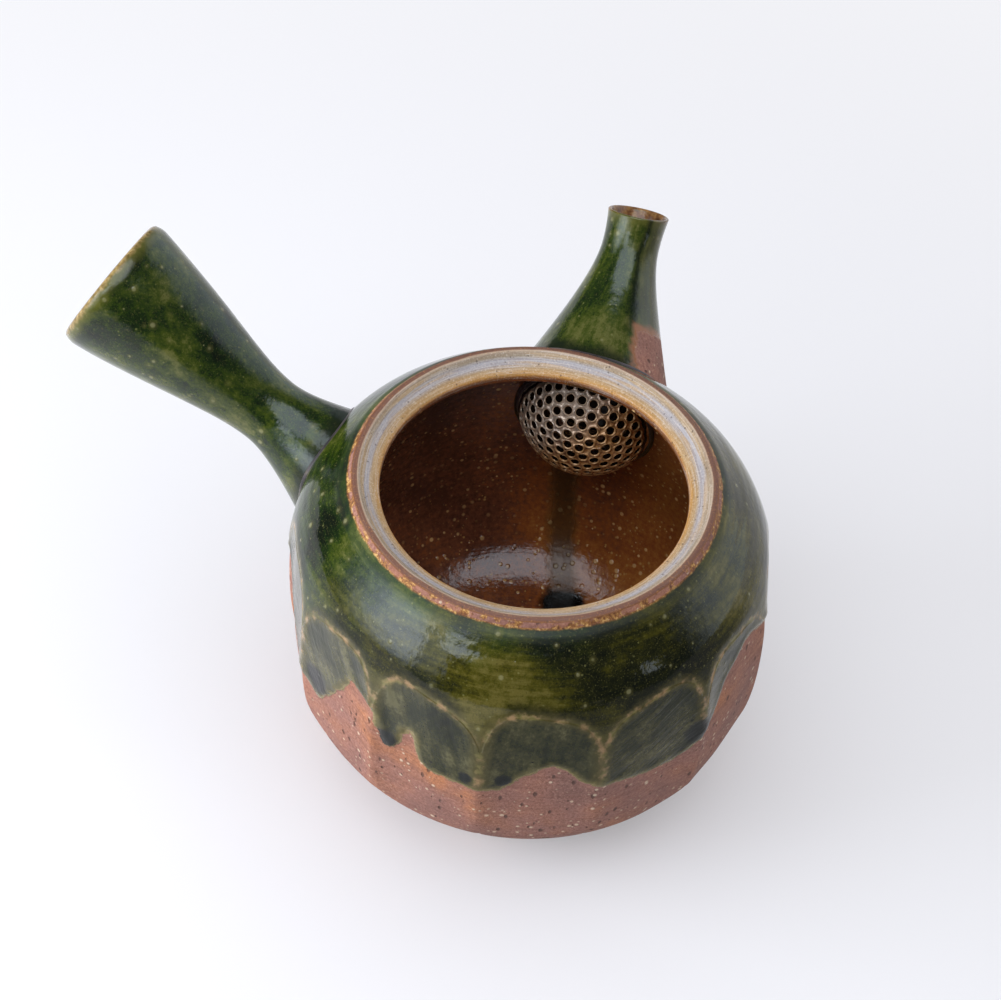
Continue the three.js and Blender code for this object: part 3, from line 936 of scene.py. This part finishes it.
def specks(node, place, spacing, radius, share):
    """Round specks, 1 inside and 0 outside: in a share of the cells of the spacing, one speck of
    up to the radius."""
    scaled = node("VectorMath", {0: place, "Scale": 1 / spacing}, operation="SCALE")
    cell = node("TexVoronoi", {"Vector": scaled, "Scale": 1.0, "Randomness": 1.0}, out="Color")
    distance = cell.node.outputs["Distance"]
    pick, size, _ = node("SeparateColor", {0: cell}).node.outputs
    reach = product(node, size, radius / spacing)
    inside = node("MapRange", {0: distance, 1: product(node, reach, 0.55), 2: reach, 3: 1.0, 4: 0.0})
    return product(node, inside, maths(node, "LESS_THAN", pick, share))


def clay_layer(node, place):
    """Unglazed red-brown stoneware: brown-pink, flashed orange in places, with dark pits and
    cream grit. Gives its colour and its height."""
    colour = ramp(node, noise(node, place, 15, 4),
        (0.32, 0x8E675C), (0.46, 0x9E7062), (0.58, 0xA8745E), (0.70, 0xBC7C54))
    grain = noise(node, place, 0.7, 4, rough=0.75)
    trimmed = noise(node, place, 1.1, 3, stretch=(14, 14, 1))
    colour = tinted(node, colour, 0x6C4638, grain, 0.46, 0.66, 0.55)
    colour = tinted(node, colour, 0xCBA188, grain, 0.46, 0.30, 0.5)
    colour = tinted(node, colour, 0x7A5042, trimmed, 0.5, 0.66, 0.35)
    dragged = node("VectorMath", {0: place, 1: (1.0, 1.0, 0.5)}, operation="MULTIPLY")
    pits = specks(node, dragged, 1.5, 0.6, 0.5)
    grit = specks(node, place, 1.6, 0.66, 0.5)
    colour = mixed(node, product(node, pits, 0.7), colour, 0x46302A)
    colour = mixed(node, product(node, grit, 0.75), colour, 0xDCC6AA)
    return colour, weighted(node, (grain, 0.30), (trimmed, 0.30), (pits, -0.35), (grit, 0.12))


def green_layer(node, place, streaks, tone):
    """Copper-green glaze: nearly black where it is thick, breaking to olive in streaks where it is
    thin, greener in clouds, at the photo's left and near the rim, and grainy, with pale specks of
    grit under it. A tone above 0 makes it paler. Gives its colour and the grit."""
    cloud = noise(node, place, 15, 5, stretch=(1, 1, 0.7), rough=0.6)
    mottle = noise(node, place, 1.5, 4, rough=0.7)
    value = weighted(node, (cloud, 0.52), (streaks, 0.28), (mottle, 0.20), (tone, 0.07))
    olive = ramp(node, value,
        (0.38, 0x0E1104), (0.45, 0x1F2006), (0.50, 0x333107), (0.55, 0x46420C), (0.61, 0x605826))
    green = ramp(node, value,
        (0.38, 0x0A1206), (0.45, 0x142408), (0.50, 0x253409), (0.55, 0x39440F), (0.61, 0x5A5C2C))
    right, away, up = (view_part(node, place, axis) for axis in range(3))
    greener = weighted(node, (right, -0.006), (away, 0.004), base=noise(node, place, 28, 3))
    greener = maths(node, "ADD", ranged(node, up, 70.0, 79.0, 0.0, 0.18), greener)
    colour = tinted(node, olive, green, greener, 0.45, 0.72)
    grain = noise(node, place, 0.45, 3, rough=0.75)
    colour = tinted(node, colour, 0x6A6638, grain, 0.54, 0.72, 0.45)
    colour = tinted(node, colour, 0x0C1206, grain, 0.46, 0.30, 0.5)
    grit = specks(node, place, 2.9, 0.75, 0.5)
    halo = specks(node, place, 2.9, 1.5, 0.5)
    fine = specks(node, place, 1.3, 0.34, 0.4)
    colour = mixed(node, product(node, halo, 0.16), colour, 0x77703C)
    colour = mixed(node, product(node, fine, 0.32), colour, 0x8C8A55)
    return mixed(node, product(node, grit, 0.36), colour, 0xA09C70), grit


def copper_glaze_over_clay():
    """Outside of the bowl: glossy copper-green glaze over unglazed stoneware, thin and tan on the
    arrises, greyer and streaked on the cut facets, and ochre under the lip."""
    material, node, place = new_material("copper green glaze over red stoneware")
    names = ("glaze_mm", "arch_mm", "ridge_mm", "along_mm", "pool", "tone")
    glaze_mm, arch_mm, ridge_mm, along_mm, pool, tone = (carried(node, name) for name in names)
    depth = frayed(node, glaze_mm, 4.0, place, 3.4, 5, rough=0.6)
    glazed = ranged(node, depth, -0.1, 0.2)
    clay, clay_height = clay_layer(node, place)
    green, grit = green_layer(node, place, rings(node, place, along_mm, 1.3, 16, 6), tone)

    # On the facets: grey-green, in streaks along the knife's strokes
    streak = noise(node, node("UVMap", uv_map="strokes"), 1.0, 4.0, stretch=(3.4, 26.0, 1.0), rough=0.6)
    facet = ranged(node, arch_mm, 0.1, -0.5)
    cut = weighted(node, (noise(node, place, 9, 3, rough=0.6), 0.43), (streak, 0.32),
        (noise(node, place, 0.9, 4, rough=0.7), 0.25))
    cut = ramp(node, cut, (0.38, 0x14180E), (0.46, 0x272A16), (0.53, 0x3C3B22), (0.60, 0x5C583A))
    cut = mixed(node, product(node, specks(node, place, 2.4, 0.6, 0.4), 0.75), cut, 0x0E0F0C)
    glaze = mixed(node, facet, green, cut)

    # Over the facets: darker above the arches, olive in the cusps between them
    ragged = frayed(node, arch_mm, 2.4, place, 6, 3)
    above = product(node, ranged(node, ragged, 4.2, 1.4), ranged(node, arch_mm, 0.2, 1.0),
        ranged(node, ridge_mm, 2.5, 7.0, 0.0, 0.75))
    glaze = mixed(node, above, glaze, 0x0D1306)
    cusp = product(node, ranged(node, ridge_mm, 3.6, 0.6), ranged(node, arch_mm, 3.0, 0.5), 0.5)
    glaze = mixed(node, cusp, glaze, 0x4A4420)

    # Along the arches and the arrises: worn through to tan
    below = maths(node, "MAXIMUM", product(node, ridge_mm, 0.8), arch_mm)
    arris_mm = maths(node, "MINIMUM", maths(node, "ABSOLUTE", arch_mm), below)
    uneven = frayed(node, arris_mm, 3.0, place, 1.6, 5, rough=0.65)
    worn = ranged(node, noise(node, place, 3.5, 3), 0.42, 0.60, 0.15, 0.9)
    arris = product(node, ranged(node, uneven, 1.1, 0.0), worn, 0.85)
    arris_colour = tinted(node, 0xA88862, 0x7C7444, noise(node, place, 3, 3), 0.4, 0.6)
    glaze = mixed(node, product(node, ranged(node, uneven, 2.4, 0.3), 0.55), glaze, 0x544D28)
    glaze = mixed(node, arris, glaze, arris_colour)

    # At the lower edge: pale where it thins out, blue-black where it ran thick
    glaze = mixed(node, product(node, ranged(node, depth, 2.8, 0.2), 0.75), glaze, 0x6E6436)
    glaze = tinted(node, glaze, 0x97855A, depth, 0.9, 0.2, 0.7)
    glaze = tinted(node, glaze, 0x0E1416, pool, 0.35, 0.75, 0.95)

    # Under the lip: ochre grains
    lip_mm = weighted(node, (noise(node, place, 2.2, 3), 0.9), base=maths(node, "ADD", along_mm, 2.6))
    ochre = ramp(node, noise(node, place, 0.9, 4, rough=0.7),
        (0.35, 0x5C3620), (0.46, 0x80502A), (0.54, 0xA4743C), (0.64, 0xD4AC6C))
    glaze = tinted(node, glaze, ochre, lip_mm, -0.3, 0.3)

    glossy = ranged(node, along_mm, -8.0, -3.0, 0.1, 0.55)
    rough = node("Mix", {0: glazed, 2: CLAY_ROUGHNESS, 3: glossy})
    waves = weighted(node, (rings(node, place, along_mm, 4.0, 20, 1), 0.2), (grit, 0.04),
        (noise(node, place, 1.8, 2), 0.06))
    scored = product(node, streak, product(node, facet, 0.3))
    raised = maths(node, "ADD", maths(node, "ADD", waves, scored), 0.15)
    height = node("Mix", {0: glazed, 2: clay_height, 3: raised})
    shader(node, mixed(node, glazed, clay, glaze), rough, height)
    return material


def rim_slip():
    """Rim and lid seat: dry, thin slip wiped on the wheel, in bands of brown, blue-grey and ochre."""
    material, node, place = new_material("wiped slip on the rim")
    along = carried(node, "along_mm")
    waver = frayed(node, along, 0.7, place, 9, 2)
    share = node("MapRange", {0: waver, 1: RIM_OUTER_END, 2: RIM_INNER_END})
    length = RIM_INNER_END - RIM_OUTER_END
    bands = ramp(node, share, *(((mm - RIM_OUTER_END) / length, colour) for mm, colour in RIM_BANDS))
    brushed = rings(node, place, along, 0.3, 12, 4)
    grain = noise(node, place, 0.45, 3, rough=0.7)
    ochre = ranged(node, rings(node, place, along, 1.4, 22, 3), 0.46, 0.62)
    inner = product(node, ranged(node, along, 0.3, 1.0), ranged(node, along, 6.0, 5.4))
    bands = mixed(node, product(node, ochre, inner, 0.75), bands, 0xBB9C70)
    dry = ranged(node, along, -0.2, 0.5)
    wiped = product(node, ranged(node, brushed, 0.48, 0.68, 0.0, 0.55), dry)
    colour = mixed(node, wiped, bands, 0xCFC6C0)
    colour = tinted(node, colour, 0x87705F, brushed, 0.50, 0.30, 0.5)
    pale = mixed(node, dry, 0xC08C50, 0xDDD2C4)
    colour = tinted(node, colour, pale, grain, 0.52, 0.70, 0.5)
    colour = tinted(node, colour, 0x6F5A4C, grain, 0.46, 0.28, 0.45)
    pits = specks(node, place, 0.95, 0.34, 0.4)
    colour = mixed(node, product(node, pits, 0.6), colour, 0x4A3A30)
    shader(node, colour, 0.55, weighted(node, (brushed, 0.10), (grain, 0.05), (pits, -0.08)))
    return material


def amber_glaze():
    """Hollow of the bowl: glossy iron glaze, dark brown to amber, painted lighter towards the right and
    with painted shade high on the right, with tan specks of grit, and a dark run from the strainer
    down to a pool on the floor."""
    material, node, place = new_material("amber brown iron glaze")
    right, up = view_part(node, place, 0), view_part(node, place, 2)
    lines = rings(node, place, carried(node, "along_mm"), 1.0, 14, 4)
    # Painted light: the right term turns the glaze lighter and more amber towards the view's right
    value = weighted(node, (noise(node, place, 26, 4), 0.5), (lines, 0.14),
        (noise(node, place, 1.2, 4, rough=0.7), 0.36), (right, 0.0025))
    colour = ramp(node, value, (0.36, 0x4A2B20), (0.47, 0x70432E), (0.57, 0x94562C), (0.70, 0xB27438))
    # Painted shade: darker high up on the right of the hollow
    painted_shade = product(node, ranged(node, up, 22.0, 48.0), ranged(node, right, -8.0, 22.0), 0.35)
    colour = mixed(node, painted_shade, colour, 0x402212)
    grit = specks(node, place, 1.9, 0.74, 0.85)
    fine = specks(node, place, 1.1, 0.46, 0.6)
    faint = weighted(node, (right, 0.004), base=noise(node, place, 9, 2))
    faint = ranged(node, faint, 0.34, 0.66, 0.15, 1.0)
    colour = mixed(node, product(node, grit, faint), colour, 0xDDB67C)
    colour = mixed(node, product(node, fine, product(node, faint, 0.8)), colour, 0xC49A5C)

    out, side, _ = coordinates(node, place)
    beside = weighted(node, (out, -RUN_SLOPE), base=maths(node, "ADD", side, RUN_SHIFT))
    beside = frayed(node, maths(node, "ABSOLUTE", beside), 3.0, place, 5, 3)
    run = product(node, ranged(node, beside, 5.2, 1.6), ranged(node, out, 14.0, 26.0))
    run_colour = tinted(node, 0x5A5028, 0x2E2A12, beside, 4.2, 1.8)
    colour = mixed(node, product(node, run, 0.72), colour, run_colour)
    pooled = node("VectorMath", {0: place, 1: POOL_PLACE}, out="Value", operation="DISTANCE")
    pooled = frayed(node, pooled, 6.0, place, 4, 3)
    colour = tinted(node, colour, 0x0C0C08, pooled, 7.0, 4.0)
    height = weighted(node, (noise(node, place, 1.5, 5), 0.11), (lines, 0.06), (grit, 0.08), (run, 0.3))
    shader(node, colour, weighted(node, (run, 0.25), base=0.09), height)
    return material


def strainer_glaze():
    """Strainer: thin bronze-brown glaze that broke pale on the edge of every hole, with painted glints
    on those edges, painted shade on the walls of the holes, and a painted highlight on the side that
    is high and towards the handle."""
    material, node, place = new_material("bronze brown glaze, thin on the edges")
    edge = carried(node, "edge")
    colour = ramp(node, noise(node, place, 3, 4, rough=0.65),
        (0.35, 0x845A34), (0.50, 0xBA8854), (0.65, 0xE0B282))
    # Painted highlight: a pale milky tint on the side that is high and towards the handle
    _, side, up = coordinates(node, place)
    colour = tinted(node, colour, 0xF2E6D8, maths(node, "ADD", side, up), 55.0, 70.0, 0.65)
    # Painted shade on the walls of the holes
    walls = product(node, ranged(node, edge, 0.05, 0.25), ranged(node, edge, 0.5, 0.35))
    colour = mixed(node, walls, colour, 0x24160A)
    # Paler on the edges of the holes: partly glaze that broke thin there, partly a painted glint
    colour = tinted(node, colour, 0xDDB27C, edge, 0.55, 1.0, 0.35)
    shader(node, colour, 0.17, product(node, noise(node, place, 1.2, 3), 0.04), Metallic=0.2)
    return material


def tube_glaze(name, lip_colours, run_length, tone, patch=None):
    """Spout and handle: the same copper-green glaze, mottled, ochre on the lip, dark in the bore
    and at the root. The patch, if there is one, changes its colour, roughness and height."""
    material, node, place = new_material(name)
    end_mm = carried(node, "end_mm")
    lay = carried(node, "lay", "Vector")
    runs = noise(node, lay, 1.8, 5, stretch=(run_length, 1, 1), rough=0.7)
    colour, grit = green_layer(node, place, runs, tone)
    lip_mm = frayed(node, end_mm, 1.6, place, 1.6, 4)
    ochre = ramp(node, noise(node, place, 1.2, 4), *zip((0.35, 0.50, 0.65), lip_colours))
    colour = tinted(node, colour, 0x5C5A26, lip_mm, TUBE_LIP_WIDTH * 2.6, TUBE_LIP_WIDTH * 0.5, 0.85)
    colour = tinted(node, colour, ochre, lip_mm, TUBE_LIP_WIDTH, TUBE_LIP_WIDTH * 0.2, 0.9)
    colour = tinted(node, colour, 0x3A281C, end_mm, -1.0, -4.0)
    pooled = frayed(node, carried(node, "root_mm"), 3.0, place, 4, 3)
    colour = tinted(node, colour, 0x11170F, pooled, 5.0, 1.5, 0.8)
    rough = TUBE_ROUGHNESS
    height = weighted(node, (noise(node, place, 6, 2), 0.2), (noise(node, place, 1.0, 3), 0.05),
        (grit, 0.04))
    if patch:
        colour, rough, height = patch(node, place, lay, colour, rough, height)
    shader(node, colour, rough, height)
    return material


def bare_patch(node, place, lay, colour, rough, height):
    """Clay left bare on the spout's right side near its root, with an orange fringe, and with thin
    glaze and a dark streak above it."""
    s, upwards, sideways = coordinates(node, lay)
    turn = maths(node, "ARCTAN2", product(node, sideways, -1.0), upwards)
    waver = frayed(node, turn, 0.3, place, 4, 4)
    sway = frayed(node, turn, 0.5, place, 9, 3)
    rise = frayed(node, s, 3.0, place, 3, 3)
    thin = product(node, ranged(node, sway, 0.56, 0.80), ranged(node, s, 30.0, 34.0),
        ranged(node, turn, 2.2, 1.7), 0.38)
    colour = mixed(node, thin, colour, 0x5C5640)
    streak = product(node, ranged(node, sway, 0.36, 0.56), ranged(node, sway, 0.74, 0.60),
        ranged(node, s, 30.0, 36.0), 0.75)
    colour = mixed(node, streak, colour, 0x0B120A)
    fringe = product(node, ranged(node, waver, 0.50, 0.60), ranged(node, waver, 2.0, 1.9),
        ranged(node, rise, 36.0, 34.0))
    colour = mixed(node, fringe, colour, 0x8A5A38)
    bare = product(node, ranged(node, waver, 0.58, 0.68), ranged(node, waver, 1.92, 1.82),
        ranged(node, rise, 34.0, 33.0))
    clay, clay_height = clay_layer(node, place)
    colour = mixed(node, bare, colour, clay)
    rough = node("Mix", {0: bare, 2: rough, 3: CLAY_ROUGHNESS})
    return colour, rough, node("Mix", {0: bare, 2: height, 3: clay_height})


def joint_slip():
    """Slip in the joints: a dark purple-grey line that the glaze drew back from, green-dark lower
    down, and brown where the clay beside it is bare."""
    material, node, place = new_material("dark slip in the joints")
    colour = ramp(node, noise(node, place, 4, 3), (0.35, 0x2A2628), (0.55, 0x453C40), (0.70, 0x5D5448))
    low = weighted(node, (noise(node, place, 5, 3), 8.0), base=view_part(node, place, 2))
    colour = tinted(node, colour, 0x2A2D18, low, 66.0, 56.0)
    colour = tinted(node, colour, 0x7A5240, low, 50.0, 47.0)
    shader(node, colour, 0.35, product(node, noise(node, place, 1.0, 3), 0.1))
    return material


# Setting

# Two far windows that the glaze mirrors: direction in the view's right, away and up, the cosines
# at their edge and inside it, and brightness. One is small, at the right of the front, and one is
# high at the left of the camera.
FAR_WINDOWS = (
    ((0.81, -0.526, 0.259), 0.9975, 0.999, 2.0),
    ((-0.405, -0.623, 0.669), 0.985, 0.995, 4.2),
)


def studio_seen_in_glaze(node):
    """Brightness of the room in each direction, as the glaze mirrors it: a wide window at the left
    with a sharp edge towards the camera, a paler panel at the right, two far windows, a soft light
    overhead, and a dark camera side. Turns are measured from the left towards the camera."""
    direction = node("TexCoord", out="Generated")
    right, away, up = (view_part(node, direction, axis) for axis in range(3))
    turn = maths(node, "ARCTAN2", product(node, away, -1.0), product(node, right, -1.0))
    window = product(node, ranged(node, turn, -0.25, 0.45), ranged(node, turn, 0.80, 0.70))
    dimmer = product(node, ranged(node, turn, 0.0, 0.5), ranged(node, turn, 1.02, 0.96))
    window = weighted(node, (dimmer, 1.5), (window, 4.0))
    tall = product(node, ranged(node, up, -0.1, 0.4), ranged(node, up, 0.75, 0.5))
    panel = product(node, ranged(node, right, 0.0, 0.45), ranged(node, up, 0.75, 0.5),
        ranged(node, away, -0.3, 0.1))
    above = ranged(node, weighted(node, (away, -0.3), base=up), 0.90, 0.96)
    panes = []
    for aim, edge, inside, strength in FAR_WINDOWS:
        towards = tuple(turned(np.array(aim), VIEW_TURN).tolist())
        cosine = node("VectorMath", {0: direction, 1: towards}, out="Value", operation="DOT_PRODUCT")
        panes.append((ranged(node, cosine, edge, inside), strength))
    return weighted(node, (window, tall), *panes, (panel, 1.2), (above, 3.2), base=0.10)


def add_floor():
    """A plain pale floor. It fades into the surround far off, is darker in the glaze's mirror image
    beside the pot, and bright in it farther away."""
    size = 3.0
    mesh = bpy.data.meshes.new("floor")
    corners = [(-size, -size, 0), (size, -size, 0), (size, size, 0), (-size, size, 0)]
    mesh.from_pydata(corners, [], [(0, 1, 2, 3)])
    floor = add_object("floor", mesh)
    material, node, place = new_material("matt white board")
    mirrored = node("LightPath", out="Is Glossy Ray")
    left = ranged(node, view_part(node, place, 0), -10.0, -100.0)
    beside = maths(node, "MAXIMUM", left, ranged(node, view_part(node, place, 1), -70.0, 10.0))
    mirrored_colour = mixed(node, beside, 0xA0A09E, 0xF0F0F0)
    board = node("BsdfDiffuse", {"Color": mixed(node, mirrored, 0xEEEEF0, mirrored_colour)})
    glow = node("Emission", {"Color": linear(0xF8F8FB)})
    behind = ranged(node, view_part(node, place, 1), 0.0, 220.0)
    bright = ranged(node, maths(node, "MAXIMUM", left, behind), 0.0, 1.0, 0.25, 0.9)
    distant = node("Emission", {"Color": linear(0xF8F8FB), "Strength": bright})
    distance = node("VectorMath", {0: place}, out="Value", operation="LENGTH")
    seen = node("LightPath", out="Is Camera Ray")
    soft = product(node, seen, ranged(node, distance, 130.0, 450.0, 0.3, 1.0))
    far = product(node, ranged(node, distance, 150.0, 350.0), mirrored)
    near = node("MixShader", {0: soft, 1: board, 2: glow})
    node("OutputMaterial", {"Surface": node("MixShader", {0: far, 1: near, 2: distant})})
    mesh.materials.append(material)


def add_surround():
    """Pale all round where the camera sees it, dim as a light, and the studio in mirror images."""
    world = bpy.data.worlds.new("pale surround")
    world.use_nodes = True
    world.node_tree.nodes.clear()
    node = partial(add_node, world.node_tree)
    seen = node("LightPath", out="Is Camera Ray")
    mirrored = node("LightPath", out="Is Glossy Ray")
    strength = node("Mix", {0: mirrored, 2: 0.22, 3: studio_seen_in_glaze(node)})
    lit = node("Background", {"Color": mixed(node, mirrored, 0xF4F7FC, 0xE2EEFA), "Strength": strength})
    shown = node("Background", {"Color": linear(0xF8F8FA), "Strength": 1.0})
    node("OutputWorld", {"Surface": node("MixShader", {0: seen, 1: lit, 2: shown})})
    bpy.context.scene.world = world


def add_lamp(name, place, aim, size, power, colour):
    """A rectangular soft lamp at a place, aimed at a point; both in the view's right, away and up."""
    lamp = bpy.data.lights.new(name, "AREA")
    lamp.shape = "RECTANGLE"
    lamp.size, lamp.size_y = (edge * MM for edge in size)
    lamp.energy = power
    lamp.color = linear(colour)[:3]
    made = add_object(name, lamp)
    start, end = (Vector(turned(np.array(p, float), VIEW_TURN).tolist()) * MM for p in (place, aim))
    made.visible_glossy = False
    facing = (end - start).to_track_quat("-Z", "Y").to_matrix().to_4x4()
    made.matrix_world = Matrix.Translation(start) @ facing


def add_camera():
    """Looks from the photo's side and height, rolled a little."""
    away = np.array((0, np.cos(VIEW_DROP), -np.sin(VIEW_DROP)))
    level = np.array((1.0, 0, 0))
    rise = np.array((0, np.sin(VIEW_DROP), np.cos(VIEW_DROP)))
    right = np.cos(VIEW_ROLL) * level + np.sin(VIEW_ROLL) * rise
    up = -np.sin(VIEW_ROLL) * level + np.cos(VIEW_ROLL) * rise
    place = (np.array(VIEW_CENTRE) - VIEW_DISTANCE * away) * MM
    columns = turned(np.stack([right, up, -away, place]), VIEW_TURN)
    camera = add_object("camera", bpy.data.cameras.new("camera"))
    camera.data.lens = LENS_MM
    camera.data.sensor_width = SENSOR_MM
    camera.data.sensor_fit = "HORIZONTAL"
    camera.matrix_world = Matrix([*columns.T.tolist(), (0, 0, 0, 1)])
    bpy.context.scene.camera = camera


# The pot

add_camera()
add_floor()
add_surround()
add_lamp("softbox overhead", (0, -60, 760), (0, -60, 0), (1300, 1300), 7.6, 0xFAFAFF)
add_lamp("window at the left", (-590, -130, 190), (-20, 0, 60), (420, 360), 4.6, 0xF2F6FF)

slip = joint_slip()
pot = add_piece("bowl", body_mesh(), "body", [
    copper_glaze_over_clay(), rim_slip(), amber_glaze(),
])
cut_wall_opening(pot)

spout_skin, spout_root = tube_mesh("spout", SPOUT, thrown_tube(0.01, SPOUT_LIP_SLANT, 0.0))
handle_skin, handle_root = tube_mesh("handle", HANDLE, thrown_tube(0.008, 0.0, 1.2))
add_piece("spout_tube", spout_skin, "spout", [
    tube_glaze("copper green glaze, spout", (0x5E3A24, 0x7E5230, 0x9C7446), 9, 0.4, bare_patch)])
add_piece("handle_tube", handle_skin, "handle", [
    tube_glaze("copper green glaze, handle", (0x6A5730, 0x8E7546, 0xB39A68), 2.0, 0.0)])
spout_bead = ring_mesh("spout_slip", spout_root, JOINT_SLIP_RADIUS)
add_piece("spout_slip", spout_bead, "spout_slip_joint", [slip])
handle_bead = ring_mesh("handle_slip", handle_root, JOINT_SLIP_RADIUS)
add_piece("handle_slip", handle_bead, "handle_slip_joint", [slip])
add_piece("strainer_dome", strainer_mesh(), "strainer", [strainer_glaze()])
strainer_foot = lay_on_ball(skirt_edge() * SKIRT_SHARES[0], 0.0)
strainer_bead = ring_mesh("strainer_slip", strainer_foot, STRAINER_SLIP_RADIUS)
add_piece("strainer_slip", strainer_bead, "strainer_slip_joint", [slip])

bpy.context.scene.view_settings.view_transform = "Standard"
